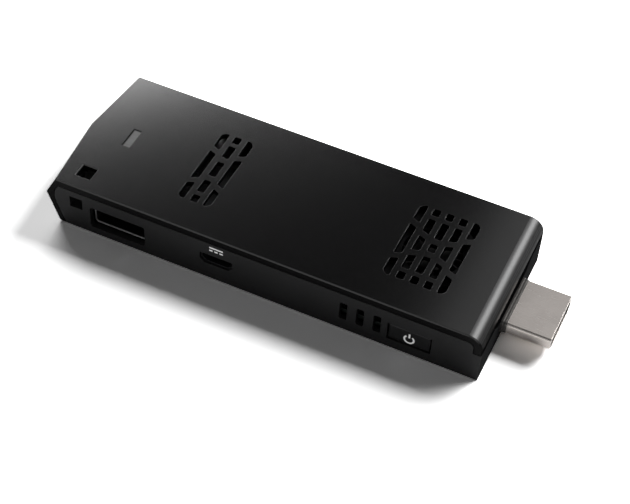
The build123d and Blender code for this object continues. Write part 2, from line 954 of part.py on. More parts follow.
def wire_tube(points, radius):
    """Round wire along straight runs joined by arcs as large as the runs allow."""
    bends = []
    for before, here, after in zip(points, points[1:], points[2:]):
        first = Vector(here) - Vector(before)
        second = Vector(after) - Vector(here)
        turn = radians(first.get_angle(second))
        bends.append(bend_share * min(first.length, second.length) / (sin(turn / 2) / cos(turn / 2)))
    path = FilletPolyline(*points, radius=bends)
    section = Plane(origin=path @ 0, z_dir=path % 0) * RegularPolygon(radius, wire_sides)
    print("least bend", round(min(bends), 2), "wire radius", radius)
    return sweep(section, path=path)


# Sockets and plug


def make_usb(turned):
    """Shell, insulator and contacts of one data socket. The far one is the near one turned about."""
    x = left + usb_from_fold
    front = near + usb_set_back
    back = front + usb_depth
    z = rise(usb_rise, usb_height)
    shell = along_y(rounded(span(x, usb_width), z, usb_round), front, back)
    inner_x = span(x, usb_width - usb_shell_wall - usb_shell_wall)
    inner_z = (z[0] + usb_shell_wall, z[1] - usb_shell_wall)
    bore = along_y(rounded(inner_x, inner_z, usb_round - usb_shell_wall), front - overrun, back + overrun)
    shell -= bore
    tab_x = rise(x + usb_width / 2 - usb_shell_wall, usb_shell_wall + usb_tab_width)
    for y in (back - usb_tab_length, front + usb_depth / 2 - usb_tab_length):
        shell += block(tab_x, rise(y, usb_tab_length), rise(board_top, usb_tab_height)) - bore
    tongue_top = inner_z[1] - usb_tongue_drop
    tongue_z = (tongue_top - usb_tongue_thickness, tongue_top)
    rear = along_y(rounded(inner_x, inner_z, usb_round - usb_shell_wall), back - usb_back_block, back)
    tongue = block(span(x, usb_tongue_width), (front + usb_tongue_set_back, back), tongue_z)
    insulator = rear + tongue
    contacts = []
    for place in row(x, usb_contact_pitch, usb_contact_count):
        wide = span(place, usb_contact_width)
        level = (tongue_z[0] - usb_contact_thickness, tongue_z[0])
        start = front + usb_tongue_set_back + usb_contact_set_back
        end = back + usb_contact_tail
        blade = block(wide, (start, end), level)
        foot = block(wide, (end - usb_contact_foot, end), (board_top, level[1]))
        contacts.append(blade + foot)
    for contact in contacts:
        insulator -= contact
    pieces = [shell, insulator, group(contacts)]
    if turned:
        pieces = [Pos(x, 0, 0) * Rot(Z=180) * Pos(-x, 0, 0) * piece for piece in pieces]
    return pieces


def make_power_socket():
    """Shell, insulator and contacts of the small power socket on the board's edge."""
    x = left + power_socket_from_fold
    front = near + power_socket_set_back
    back = front + power_socket_depth
    outline = power_outline(x, board_top)
    hole = power_outline(x, board_top, -power_socket_wall)
    shell = along_y(outline, front, back) - along_y(hole, front - overrun, back + overrun)
    rear = along_y(hole, back - power_socket_back, back)
    middle = board_top + power_socket_height / 2
    tongue_z = span(middle, power_tongue_thickness)
    tongue = block(span(x, power_tongue_width), (front + power_tongue_set_back, back), tongue_z)
    contacts = []
    for place in row(x, power_contact_pitch, power_contact_count):
        wide = span(place, power_contact_width)
        level = (tongue_z[0] - power_contact_thickness, tongue_z[0])
        end = back + power_contact_tail
        blade = block(wide, (front + power_tongue_set_back + power_tongue_thickness, end), level)
        foot = block(wide, (end - power_contact_width, end), (board_top, level[1]))
        contacts.append(blade + foot)
    insulator = rear + tongue
    for contact in contacts:
        insulator -= contact
    return shell, insulator, group(contacts)


def make_card_slot():
    """Metal cover, moulded base and contacts of the card slot under the board."""
    x = left + card_slot_from_fold
    front = far - wall - card_slot_set_back
    back = front - card_slot_depth
    low = board_under - card_slot_height
    cover = block(span(x, card_slot_width), (back, front), (low, board_under))
    inner_x = span(x, card_slot_width - card_slot_wall - card_slot_wall)
    cover -= block(inner_x, (back + card_slot_wall, front + overrun), (low + card_slot_wall, board_under))
    base_top = board_under
    base = block(inner_x, (back + card_slot_wall, front), (base_top - card_base_height, base_top))
    stop_z = (low + card_slot_wall, base_top)
    base += block(inner_x, rise(back + card_slot_wall, card_stop_depth), stop_z)
    contacts = []
    for place in row(x, card_contact_pitch, card_contact_count):
        start = back + card_slot_wall + card_stop_depth
        level = (base_top - card_base_height - card_contact_thickness, base_top - card_base_height)
        contacts.append(block(span(place, card_contact_width), rise(start, card_contact_length), level))
    return cover, base, group(contacts)


def make_plug():
    """Shell, insulator, contacts and collar of the display plug."""
    rear = right - plug_inside_length
    shell = along_x(plug_outline(), rear, tip)
    bore = along_x(plug_outline(-plug_shell_wall), rear - overrun, tip + overrun)
    shell -= bore
    for side in (-1, 1):
        inner = side * (plug_width / 2 - plug_shell_wall / 2)
        tab_y = sorted((inner, inner + side * (plug_tab_width + plug_shell_wall / 2)))
        shell += block(rise(rear, plug_tab_length), tab_y, rise(board_top, plug_tab_height))
    insulator = along_x(plug_outline(-plug_shell_wall), rear, tip - plug_mouth_depth)
    middle = plug_rise + plug_height / 2
    slot_x = (tip - plug_mouth_depth - plug_slot_depth, tip)
    insulator -= block(slot_x, span(0, plug_slot_width), span(middle, plug_slot_height))
    contacts = []
    for side, count, level in ((1, plug_upper_contacts, board_top), (-1, plug_lower_contacts, board_under)):
        face = middle + side * plug_slot_height / 2
        blade_z = sorted((face, face + side * plug_contact_height))
        tail_z = sorted((level, level + side * plug_contact_height))
        for y in row(0, plug_contact_pitch, count):
            wide = span(y, plug_contact_width)
            blade = block((rear, tip - plug_mouth_depth - plug_mouth_depth), wide, blade_z)
            riser_z = (min(blade_z[0], tail_z[0]), max(blade_z[1], tail_z[1]))
            riser = block((rear - plug_contact_height, rear), wide, riser_z)
            tail = block((rear - plug_contact_tail, rear), wide, tail_z)
            contacts.append(blade + riser + tail)
    for contact in contacts:
        insulator -= contact
    collar = along_x(plug_outline(collar_sleeve), right, right + collar_length)
    collar += along_x(plug_outline(collar_ridge), right, right + collar_ridge_length)
    second = right + collar_second_place
    collar += along_x(plug_outline(collar_second_ridge), second, second + collar_second_length)
    collar -= along_x(plug_outline(), right - overrun, right + collar_length + overrun)
    return shell, insulator, group(contacts), collar


# Button and switch


button_back = near + wall + running_gap + button_flange_thickness
plunger_front = button_back + button_nub_length + running_gap
plunger_level = board_top + plunger_rise
switch_front = plunger_front + plunger_length / 2


def make_button():
    """Power button: key with rounded edges, a flange behind the wall and a nub for the switch."""
    x = right - button_from_end
    gap = button_gap + button_gap
    key_x = span(x, button_opening_width - gap)
    key_z = span(button_rise, button_opening_height - gap)
    key = block(key_x, (near + button_recess, button_back), key_z)
    front = [edge for edge in key.edges() if abs(edge.center().Y - near - button_recess) < fit_gap]
    key = fillet(front, button_edge_round)
    flange_x = span(x, button_opening_width + button_flange + button_flange)
    flange_z = span(button_rise, button_opening_height + button_flange)
    key += block(flange_x, (near + wall + running_gap, button_back), flange_z)
    key += block(span(x, button_nub), rise(button_back, button_nub_length), span(plunger_level, button_nub))
    return key


def make_plunger():
    """Plunger of the switch."""
    x = right - button_from_end
    size = (span(x, plunger_width), rise(plunger_front, plunger_length), span(plunger_level, plunger_height))
    return block(*size)


def make_switch():
    """Body of the switch, with a bore for the plunger, on the board's edge."""
    x = right - button_from_end
    body = block(span(x, switch_width), rise(switch_front, switch_depth), rise(board_top, switch_height))
    gap = running_gap + running_gap
    bore_z = span(plunger_level, plunger_height + gap)
    bore_y = (switch_front - overrun, switch_front + switch_depth - switch_back)
    return body - block(span(x, plunger_width + gap), bore_y, bore_z)


# Heat spreader and fins


def make_spreader():
    """Plate over the chips with an arm that runs through the fins."""
    z = (spreader_under, spreader_top)
    outline = rectangle(spreader_x, span(0, spreader_width))
    plate = upright(chamfer(outline.vertices(), spreader_corner), *z)
    plate += block((spreader_x[1] - spreader_width / 4, fin_x[1]), arm_y, z)
    for x, y in spreader_posts():
        hole = (z[0] - overrun, z[1] + overrun)
        plate -= bar(x, y, hole, spreader_screw_radius + running_gap, tiny_round_sides)
    return plate


def make_fins():
    """Folded fins in the outlet, joined along their top."""
    stack = block(fin_x, fin_y, (fin_top - fin_cap, fin_top))
    pitch = (fin_x[1] - fin_x[0] - fin_thickness) / (fin_count - 1)
    for x in row(side_slots_x, pitch, fin_count):
        stack += block(span(x, fin_thickness), fin_y, (board_top, fin_top))
    return stack - block((fin_x[0] - overrun, fin_x[1] + overrun), arm_y, (spreader_under, spreader_top))


def make_standoffs():
    """Posts between board and spreader."""
    z = (board_top, spreader_under)
    posts = []
    for x, y in spreader_posts():
        hole = bar(x, y, (z[0] - overrun, z[1] + overrun), standoff_hole, tiny_round_sides)
        posts.append(bar(x, y, z, standoff_radius, socket_sides) - hole)
    return group(posts)


def make_spreader_screws():
    """Small screws that hold the spreader to its posts."""
    screws = []
    for x, y in spreader_posts():
        head = bar(x, y, rise(spreader_top, spreader_screw_head_height), spreader_screw_head, tiny_round_sides)
        shank_z = (spreader_top - spreader_screw_length, spreader_top)
        shank = bar(x, y, shank_z, spreader_screw_radius, shank_sides)
        screws.append(head + shank)
    return group(screws)


# Blower




def scroll_arc(number):
    """Centre and radius of one quarter of the scroll: each is larger than the last and runs on from it."""
    x = blower_x - scroll_step * min(number, 1)
    y = blower_place - scroll_step * max(number - 1, 0)
    return x, y, scroll_start + scroll_step * number


def scroll_point(angle, extra):
    """Point of the scroll in a direction, an extra distance outside its inner face."""
    number = 0 if angle < 0 else 1 if angle < pi / 2 else 2
    x, y, radius = scroll_arc(number)
    return x + (radius + extra) * cos(angle), y + (radius + extra) * sin(angle)


def scroll_outline(extra, past_outlet=0):
    """Outline of the blower's scroll and outlet channel, grown by an extra thickness."""
    start = -pi / 2 - asin((tongue_offset - extra) / (scroll_start + extra))
    turns = [degrees(start), 0, 90, 180]
    walls = []
    for number, (turn, after) in enumerate(zip(turns, turns[1:])):
        x, y, radius = scroll_arc(number)
        walls.append(CenterArc((x, y), radius + extra, turn, after - turn))
    first = scroll_point(start, extra)
    last = scroll_point(pi, extra)
    end_y = outlet_y - past_outlet
    walls.append(Line(last, (last[0], end_y)))
    walls.append(Line((last[0], end_y), (first[0], end_y)))
    walls.append(Line((first[0], end_y), first))
    return make_face(walls)


def blower_ears():
    """Places of the blower's fixing ears, on its outer wall."""
    reach = scroll_wall + ear_screw_head + running_gap
    return [scroll_point(radians(turn), reach) for turn in ear_angles]


def make_blower_housing():
    """Scroll housing with its floor, wall, fixing ears and bearing post."""
    housing = upright(scroll_outline(scroll_wall), board_top, lid_under)
    for x, y in blower_ears():
        housing += bar(x, y, rise(board_top, ear_height), ear_radius, small_round_sides)
    housing -= upright(scroll_outline(0, overrun), blower_floor, blower_top)
    for x, y in blower_ears():
        housing -= bar(x, y, (board_top - overrun, blower_top), ear_hole, tiny_round_sides)
    bore = bearing_radius + fit_gap
    z = rise(blower_floor, post_height)
    sleeve = bar(blower_x, blower_place, z, bore + post_wall, small_round_sides)
    return housing + (sleeve - bar(blower_x, blower_place, (z[0], z[1] + overrun), bore, small_round_sides))


def make_blower_lid():
    """Lid with the round intake."""
    lid = upright(scroll_outline(scroll_wall), lid_under, blower_top)
    return lid - post(blower_x, blower_place, (lid_under - overrun, blower_top + overrun), intake_radius)


def make_impeller():
    """Impeller: hub cup with leaning blades and a boss for the shaft."""
    cup = post(blower_x, blower_place, (rotor_base, hub_top), hub_radius)
    cup -= bar(blower_x, blower_place, (rotor_base - overrun, hub_under), hub_radius - hub_wall, ring_sides)
    boss = (hub_under - shaft_boss_height, hub_under)
    cup += bar(blower_x, blower_place, boss, shaft_boss, small_round_sides)
    inner = hub_radius - hub_wall / 2
    blade_z = (rotor_base, lid_under - blade_top_gap)
    blade = Pos(inner, 0, 0) * Rot(Z=-blade_lean) * block((0, blade_reach - inner), span(0, blade_thickness), blade_z)
    for number in range(blade_count):
        cup += Pos(blower_x, blower_place, 0) * Rot(Z=360 * number / blade_count) * blade
    return cup - post(blower_x, blower_place, (rotor_base, hub_under), shaft_radius + fit_gap)


def make_shaft():
    """Shaft of the impeller."""
    return post(blower_x, blower_place, (blower_floor + running_gap, hub_under), shaft_radius)


def make_magnet():
    """Ring magnet inside the hub."""
    outer = hub_radius - hub_wall - fit_gap
    z = rise(rotor_base, magnet_height)
    bore = (z[0] - overrun, z[1] + overrun)
    ring = bar(blower_x, blower_place, z, outer, ring_sides)
    return ring - bar(blower_x, blower_place, bore, outer - magnet_thickness, ring_sides)


def make_bearing():
    """Sleeve bearing in the housing's post."""
    z = rise(blower_floor, bearing_height)
    bore = (z[0] - overrun, z[1] + overrun)
    sleeve = bar(blower_x, blower_place, z, bearing_radius, small_round_sides)
    return sleeve - post(blower_x, blower_place, bore, shaft_radius + running_gap)


def make_stator():
    """Wound core round the bearing post."""
    inner = bearing_radius + fit_gap + post_wall + fit_gap
    z = rise(blower_floor, stator_height)
    core = bar(blower_x, blower_place, z, inner + stator_core, small_round_sides)
    for number in range(stator_poles):
        arm = block((inner + stator_core / 2, stator_radius), span(0, stator_pole_width), z)
        core += Pos(blower_x, blower_place, 0) * Rot(Z=360 * number / stator_poles) * arm
    bore = (z[0] - overrun, z[1] + overrun)
    return core - bar(blower_x, blower_place, bore, inner, small_round_sides)


def make_blower_screws():
    """Screws in the blower's ears."""
    screws = []
    for x, y in blower_ears():
        seat = board_top + ear_height
        head = bar(x, y, rise(seat, ear_screw_head_height), ear_screw_head, tiny_round_sides)
        screws.append(head + bar(x, y, (board_under, seat), ear_screw_radius, shank_sides))
    return group(screws)


def make_fan_header():
    """Header on the board for the blower's lead."""
    return chip(header_x, header_place, header_width, header_depth, rise(board_top, header_height))


def make_fan_lead():
    """Lead from the blower's wall to its header."""
    start_x = header_x + header_width / 2
    level = board_top + header_height / 2
    end = scroll_point(radians(fan_lead_angle), scroll_wall + fit_gap)
    corner = (start_x + fan_lead_run, header_place, level)
    return wire_tube([(start_x, header_place, level), corner, (*end, level)], lead_radius)


def build():
    """Every sub-part by the name of its file."""
    usb_near = make_usb(False)
    usb_far = make_usb(True)
    power = make_power_socket()
    card = make_card_slot()
    plug = make_plug()
    return {
        "top_cover": make_cover(),
        "bottom_tray": make_tray(),
        "status_window": make_window(),
        "case_screws": make_case_screws(),
        "power_button": make_button(),
        "switch_plunger": make_plunger(),
        "switch_body": make_switch(),
        "main_board": make_board(),
        "processor": make_processor(),
        "processor_die": make_die(),
        "thermal_pad": make_pad(),
        "memory_chips": make_memory(),
        "storage_chip": make_storage(),
        "power_chip": make_power_chip(),
        "power_inductors": make_inductors(),
        "board_capacitors": make_capacitors(),
        "clock_crystal": make_crystal(),
        "status_lamp": make_lamp(),
        "wireless_module": make_module(),
        "wireless_shield": make_shield(),
        "aerial_sockets": make_sockets(),
        "aerial_lead_plugs": make_lead_plugs(),
        "aerial_carrier": make_carrier(),
        "aerial_near": aerial(-1),
        "aerial_far": aerial(1),
        "aerial_lead_near": aerial_lead(-1),
        "aerial_lead_far": aerial_lead(1),
        "usb_shell_near": usb_near[0],
        "usb_tongue_near": usb_near[1],
        "usb_contacts_near": usb_near[2],
        "usb_shell_far": usb_far[0],
        "usb_tongue_far": usb_far[1],
        "usb_contacts_far": usb_far[2],
        "power_socket_shell": power[0],
        "power_socket_tongue": power[1],
        "power_socket_contacts": power[2],
        "card_slot_cover": card[0],
        "card_slot_base": card[1],
        "card_slot_contacts": card[2],
        "plug_shell": plug[0],
        "plug_insulator": plug[1],
        "plug_contacts": plug[2],
        "plug_collar": plug[3],
        "heat_spreader": make_spreader(),
        "outlet_fins": make_fins(),
        "spreader_standoffs": make_standoffs(),
        "spreader_screws": make_spreader_screws(),
        "blower_housing": make_blower_housing(),
        "blower_lid": make_blower_lid(),
        "blower_screws": make_blower_screws(),
        "fan_impeller": make_impeller(),
        "fan_shaft": make_shaft(),
        "fan_magnet": make_magnet(),
        "fan_bearing": make_bearing(),
        "fan_stator": make_stator(),
        "fan_header": make_fan_header(),
        "fan_lead": make_fan_lead(),
    }


for name, shape in build().items():
    export_step(shape, f"parts/{name}.step")
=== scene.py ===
"""Looks of the stick computer: finishes, printed signs, studio and camera round the model."""
from math import cos, pi, radians, sin

import bmesh
import bpy
from mathutils import Matrix, Vector


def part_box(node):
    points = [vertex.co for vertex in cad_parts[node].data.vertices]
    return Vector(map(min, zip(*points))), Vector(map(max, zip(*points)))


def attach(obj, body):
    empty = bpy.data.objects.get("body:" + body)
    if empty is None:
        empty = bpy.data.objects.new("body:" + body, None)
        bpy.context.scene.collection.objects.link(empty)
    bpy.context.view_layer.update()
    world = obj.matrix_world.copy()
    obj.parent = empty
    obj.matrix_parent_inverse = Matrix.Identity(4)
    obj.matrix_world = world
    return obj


# All lengths are in metres
MM = 0.001
MICRON = 0.000001

# Camera, found by fitting the body's corners in the photograph
CAMERA_PLACE = (89.55 * MM, -223.1 * MM, 260.3 * MM)
CAMERA_AIM = (3.57 * MM, -6.75 * MM, 6.0 * MM)
CAMERA_ROLL = radians(4.2)
CAMERA_LENS = 91.97
CAMERA_SENSOR = 36.0
CAMERA_NEAR = 0.01

# Printed signs: how far the ink stands out and reaches in, the light painted into it as a glow, and
# the forms
INK_LIFT = 0.012 * MM
INK_SINK = 0.02 * MM
INK_PAINTED_LIGHT = 0.3
POWER_SIGN_RADIUS = 1.05 * MM
POWER_SIGN_STROKE = 0.4 * MM
POWER_SIGN_GAP = radians(38)
POWER_SIGN_STEPS = 40
POWER_SIGN_TICK = 1.25 * MM
POWER_SIGN_DROP = 0.5 * MM
SUPPLY_SIGN_WIDTH = 3.2 * MM
SUPPLY_SIGN_STROKE = 0.42 * MM
SUPPLY_SIGN_GAP = 0.42 * MM
SUPPLY_SIGN_LIFT = 2.1 * MM

# Floor: its true grey, the grey that the camera and mirrors are shown, and its fade to white
FLOOR_REACH = 6.0
FLOOR_DROP = -0.05 * MM
FLOOR_GREY = 0.9
FLOOR_SHOWN = 2.6
FLOOR_SHADOW_REACH = 0.13
FLOOR_WHITE_REACH = 0.35

# Room and softboxes: the cover mirrors the key light in its roll and the left box at its left end
WHITE = (1, 1, 1, 1)
ROOM_STRENGTH = 0.06
SOFTBOXES = {
    "key": dict(place=(0.44, 0.66, 0.62), width=0.5, depth=0.62, radiance=13.0),
    "left_box": dict(place=(-0.405, 0.505, 0.45), width=0.5, depth=0.24, radiance=9.6,
                     turn=radians(45)),
}

# Black cards that the cover mirrors where it is dark
FLAG_BLACK = (0.002, 0.002, 0.002, 1)
FLAGS = {
    "top_flag": dict(place=(-0.215, 0.5, 0.48), width=0.3, depth=0.8),
    "end_flag": dict(place=(0.42, 0.37, 0.1), width=0.4, depth=0.3, turn=radians(-45), tilt=pi / 2),
    "roof_flag": dict(place=(-0.09, -0.04, 0.7), width=0.35, depth=0.35),
    "front_flag": dict(place=(0.02, -0.9, 0.7), width=0.2, depth=1.4),
}

# Textures: the band of a noise's factor that is used, feature sizes and rounding of edges
NOISE_BAND = (0.3, 0.7)
GRAIN = 0.12 * MM
CHIP_GRAIN = 0.06 * MM
SPECKLE = 0.1 * MM
EDGE = 0.12 * MM
PLUG_EDGE = 0.2 * MM
EDGE_SAMPLES = 4

# Moulded plastic: size and tints of its faint clouds, and how far its roughness varies
MOULD_CLOUD = 12 * MM
MOULD_TINTS = (0.88, 1.12)
MOULD_SPREAD = (-0.05, 0.05)

# Sheet metal: the same
METAL_CLOUD = 6 * MM
METAL_TINTS = (0.94, 1.03)
METAL_SPREAD = (-0.06, 0.08)

# Boards: the weave's count in a metre, its seams, the tint of every other field, roughness
WEAVE_COUNT = 900.0
WEAVE_OFFSET = 0.5
WEAVE_SEAM = 0.03
WEAVE_TINT = 1.25
BOARD_ROUGHNESS = 0.35

# Ink: tint of its thin places and range of its roughness
INK_TINT = 0.9
INK_ROUGHNESS = (0.45, 0.6)

# Painted shade: walls and the plug end get less gloss, so they mirror less light and show darker
# Gloss by slope: a face's slope is lowered by this much towards the plug end and raised towards
# the folded end, and meets no gloss, the walls' gloss twice and the level gloss at these stops
END_GLOSS_SHADE = 0.5
GLOSS_STOPS = (0.1, 0.4, 0.65, 0.95)

# Roll of the cover: added roughness, and the normal's X where all of it is reached
ROLL_SOFTENING = 0.22
ROLL_SLOPE = 0.12

# Data socket shells: their own colour at the lip, and painted shade, near black, on the inside
# behind it
LIP_INNER = 16.7 * MM
LIP_OUTER = 16.95 * MM
INSIDE_SHADE = 0.06

# Status window: outer lines and width of its two rims of painted recess shade, its ribs and its
# plastic
WINDOW_LEFT = -45.4 * MM
WINDOW_FAR = 2.7 * MM
WINDOW_SHADE_RIM = 0.4 * MM
WINDOW_RIB = 0.4 * MM
WINDOW_DARK = (0.014, 0.0145, 0.015)
WINDOW_LIGHT = (0.034, 0.035, 0.036)
WINDOW_GLOSS = 0.45
WINDOW_ROUGHNESS = 0.3
WINDOW_MILKINESS = 0.2
WINDOW_SCATTER = 0.6 * MM


# Node helpers


def new_material(name):
    """Node material; returns the material, its node tree and its shader."""
    material = bpy.data.materials.new(name)
    material.use_nodes = True
    tree = material.node_tree
    return material, tree, tree.nodes["Principled BSDF"]


def feed(tree, socket, value):
    """Link an input to a socket, or set it to a plain value."""
    if isinstance(value, bpy.types.NodeSocket):
        tree.links.new(value, socket)
    else:
        socket.default_value = value


def fill(tree, made, **values):
    """Set properties of a node and feed its inputs, whose names have _ for a space."""
    for key, value in values.items():
        if hasattr(made, key):
            setattr(made, key, value)
        else:
            feed(tree, made.inputs[key.replace("_", " ")], value)


def node(tree, kind, **values):
    """New node with some properties set and some inputs fed."""
    made = tree.nodes.new(kind)
    fill(tree, made, **values)
    return made


def maths(tree, operation, *values):
    """Sum on sockets and plain numbers; returns the value socket."""
    made = node(tree, "ShaderNodeMath", operation=operation)
    for socket, value in zip(made.inputs, values):
        feed(tree, socket, value)
    return made.outputs["Value"]


def ranged(tree, value, source, target, **values):
    """Map a value from one range to another; returns the value socket."""
    made = node(tree, "ShaderNodeMapRange", Value=value, From_Min=source[0], From_Max=source[1],
                To_Min=target[0], To_Max=target[1], **values)
    return made.outputs["Result"]


def object_place(tree):
    """Place on the object; returns the vector socket."""
    return node(tree, "ShaderNodeTexCoord").outputs["Object"]


def axes_of(tree, vector):
    """X, Y and Z sockets of a vector socket, by their letters."""
    return node(tree, "ShaderNodeSeparateXYZ", Vector=vector).outputs


def noise(tree, size, stretch=(1, 1, 1), detail=3.0):
    """Noise of a feature size, stretched along the object's axes; returns its factor socket."""
    scaled = node(tree, "ShaderNodeMapping", Vector=object_place(tree),
                  Scale=[1 / (size * length) for length in stretch])
    texture = node(tree, "ShaderNodeTexNoise", Vector=scaled.outputs["Vector"], Scale=1.0,
                   Detail=detail)
    return texture.outputs["Fac"]


def vary(tree, factor, low, high):
    """Map a noise's factor to a range; returns the value socket."""
    return ranged(tree, factor, NOISE_BAND, (low, high))


def blend_colours(tree, factor, first, second):
    """Mix two colours by a noise's factor; returns the colour socket."""
    ramp = node(tree, "ShaderNodeValToRGB", Fac=factor)
    for stop, colour, position in zip(ramp.color_ramp.elements, (first, second), NOISE_BAND):
        stop.color = (*colour, 1)
        stop.position = position
    return ramp.outputs["Color"]


def relief(tree, shader, height, depth, edge=EDGE):
    """Fine bump over softly rounded edges, fed to the shader's normal."""
    bump = node(tree, "ShaderNodeBump", Strength=1.0, Distance=depth, Height=height)
    if edge:
        soft = node(tree, "ShaderNodeBevel", samples=EDGE_SAMPLES, Radius=edge)
        fill(tree, bump, Normal=soft.outputs["Normal"])
    fill(tree, shader, Normal=bump.outputs["Normal"])


def tint(colour, factor):
    """A colour made lighter or darker."""
    return [channel * factor for channel in colour]


def gloss_by_slope(tree, level_value, wall_value):
    """Gloss that fades from level faces to walls, with none at the plug end, as painted shade;
    returns the socket.
    """
    face = node(tree, "ShaderNodeNewGeometry").outputs["True Normal"]
    normal = axes_of(tree, face)
    slope = maths(tree, "ABSOLUTE", normal["Z"])
    lowered = maths(tree, "MULTIPLY_ADD", normal["X"], -END_GLOSS_SHADE, slope)
    ramp = node(tree, "ShaderNodeValToRGB", Fac=maths(tree, "ADD", lowered, END_GLOSS_SHADE))
    stops = ramp.color_ramp.elements
    stops[0].position, stops[1].position = GLOSS_STOPS[0], GLOSS_STOPS[-1]
    for position in GLOSS_STOPS[1:-1]:
        stops.new(position)
    for stop, value in zip(stops, (0.0, wall_value, wall_value, level_value)):
        stop.color = (value, value, value, 1)
    return ramp.outputs["Color"]


def softer_roll(tree, roughness):
    """Roughness that grows where the cover rolls over to the plug end; returns the socket."""
    smooth = node(tree, "ShaderNodeNewGeometry").outputs["Normal"]
    grown = ranged(tree, axes_of(tree, smooth)["X"], (0.0, ROLL_SLOPE), (0.0, ROLL_SOFTENING))
    return maths(tree, "ADD", grown, roughness)


def share_along(tree, axis, dark_end, light_end, dark_share, both_sides=False):
    """Share that grows to one between two places on an object's axis; returns the socket."""
    reading = axes_of(tree, object_place(tree))[axis]
    if both_sides:
        reading = maths(tree, "ABSOLUTE", reading)
    return ranged(tree, reading, (dark_end, light_end), (dark_share, 1.0))


def scale_colour(tree, colours, share):
    """Colour times a share; returns the colour socket."""
    scaled = node(tree, "ShaderNodeVectorMath", operation="SCALE", Vector=colours, Scale=share)
    return scaled.outputs["Vector"]


def seen_ray(tree):
    """One for rays from the camera, mirrors and clear matter, which see the same white."""
    ray = node(tree, "ShaderNodeLightPath").outputs
    mirrored = maths(tree, "MAXIMUM", ray["Is Camera Ray"], ray["Is Glossy Ray"])
    return maths(tree, "MAXIMUM", mirrored, ray["Is Transmission Ray"])


def mix_to_output(tree, share, first, second, output):
    """Mix two shader sockets by a share and feed them to the tree's output node."""
    mixed = node(tree, "ShaderNodeMixShader")
    for socket, value in zip(mixed.inputs, (share, first, second)):
        feed(tree, socket, value)
    fill(tree, tree.nodes[output], Surface=mixed.outputs["Shader"])


# Materials


def moulded(name, colour, roughness=0.42, grain=GRAIN, depth=4 * MICRON, edge=EDGE, gloss=0.5,
            wall_gloss=None, rolled=False):
    """Moulded plastic with a fine grain and rounded edges; its upright walls may get less gloss, as
    painted shade.
    """
    material, tree, shader = new_material(name)
    fine = noise(tree, grain)
    broad = noise(tree, MOULD_CLOUD, detail=2.0)
    colours = blend_colours(tree, broad, *(tint(colour, factor) for factor in MOULD_TINTS))
    rough = vary(tree, fine, *(roughness + step for step in MOULD_SPREAD))
    if rolled:
        rough = softer_roll(tree, rough)
    fill(tree, shader, Base_Color=colours, Roughness=rough, Specular_IOR_Level=gloss)
    if wall_gloss is not None:
        # Painted shade: less gloss on upright walls and none at the plug end, so these faces mirror
        # less light
        fill(tree, shader, Specular_IOR_Level=gloss_by_slope(tree, gloss, wall_gloss))
    relief(tree, shader, fine, depth, edge)
    return material


def metal(name, colour, roughness=0.3, brush=(1, 1, 1), depth=1.5 * MICRON, edge=EDGE,
          shaded_inside=False):
    """Plated sheet metal with faint drawn lines along one axis, with painted shade inside a socket
    if asked.
    """
    material, tree, shader = new_material(name)
    lines = noise(tree, GRAIN, brush, detail=4.0)
    cloud = noise(tree, METAL_CLOUD, detail=2.0)
    colours = blend_colours(tree, cloud, *(tint(colour, factor) for factor in METAL_TINTS))
    if shaded_inside:
        # Painted shade: the shell turns near black behind its lip, where the tongue and walls shade
        # the inside
        share = share_along(tree, "Y", LIP_INNER, LIP_OUTER, INSIDE_SHADE, both_sides=True)
        colours = scale_colour(tree, colours, share)
    rough = vary(tree, lines, *(roughness + step for step in METAL_SPREAD))
    fill(tree, shader, Base_Color=colours, Roughness=rough, Metallic=1.0)
    relief(tree, shader, lines, depth, edge)
    return material


def laminate(name, mask, trace):
    """Board under solder mask: a woven ground with faint raised seams."""
    material, tree, shader = new_material(name)
    weave = node(tree, "ShaderNodeTexBrick", Vector=object_place(tree), offset=WEAVE_OFFSET,
                 Scale=WEAVE_COUNT, Mortar_Size=WEAVE_SEAM, Color1=(*mask, 1),
                 Color2=(*tint(mask, WEAVE_TINT), 1), Mortar=(*trace, 1))
    fill(tree, shader, Base_Color=weave.outputs["Color"], Roughness=BOARD_ROUGHNESS)
    relief(tree, shader, weave.outputs["Fac"], 10 * MICRON)
    return material


def smoked_window(name):
    """Grey milky plastic light guide, ribbed at the back, with painted shade along its left and far
    rims.
    """
    material, tree, shader = new_material(name)
    ribs = noise(tree, WINDOW_RIB, (8, 1, 1), detail=2.0)
    # Painted shade of the window's recess: colour and gloss fall to nothing at its left and far
    # rims
    left_unshaded = share_along(tree, "X", WINDOW_LEFT, WINDOW_LEFT + WINDOW_SHADE_RIM, 0.0)
    far_unshaded = share_along(tree, "Y", WINDOW_FAR, WINDOW_FAR - WINDOW_SHADE_RIM, 0.0)
    share = maths(tree, "MINIMUM", left_unshaded, far_unshaded)
    colours = scale_colour(tree, blend_colours(tree, ribs, WINDOW_DARK, WINDOW_LIGHT), share)
    fill(tree, shader, Base_Color=colours, Roughness=WINDOW_ROUGHNESS,
         Specular_IOR_Level=maths(tree, "MULTIPLY", share, WINDOW_GLOSS),
         Subsurface_Weight=WINDOW_MILKINESS, Subsurface_Scale=WINDOW_SCATTER)
    relief(tree, shader, ribs, 4 * MICRON)
    return material


def ink(name, colour):
    """Printed ink with a slightly uneven cover and a painted glow in place of the light on it."""
    material, tree, shader = new_material(name)
    speckle = noise(tree, SPECKLE, detail=4.0)
    colours = blend_colours(tree, speckle, tint(colour, INK_TINT), colour)
    # Painted light: the ink glows with its own colour, so it shows bright on the shaded side face
    fill(tree, shader, Base_Color=colours, Roughness=vary(tree, speckle, *INK_ROUGHNESS),
         Emission_Color=colours, Emission_Strength=INK_PAINTED_LIGHT)
    relief(tree, shader, speckle, 3 * MICRON, edge=None)
    return material


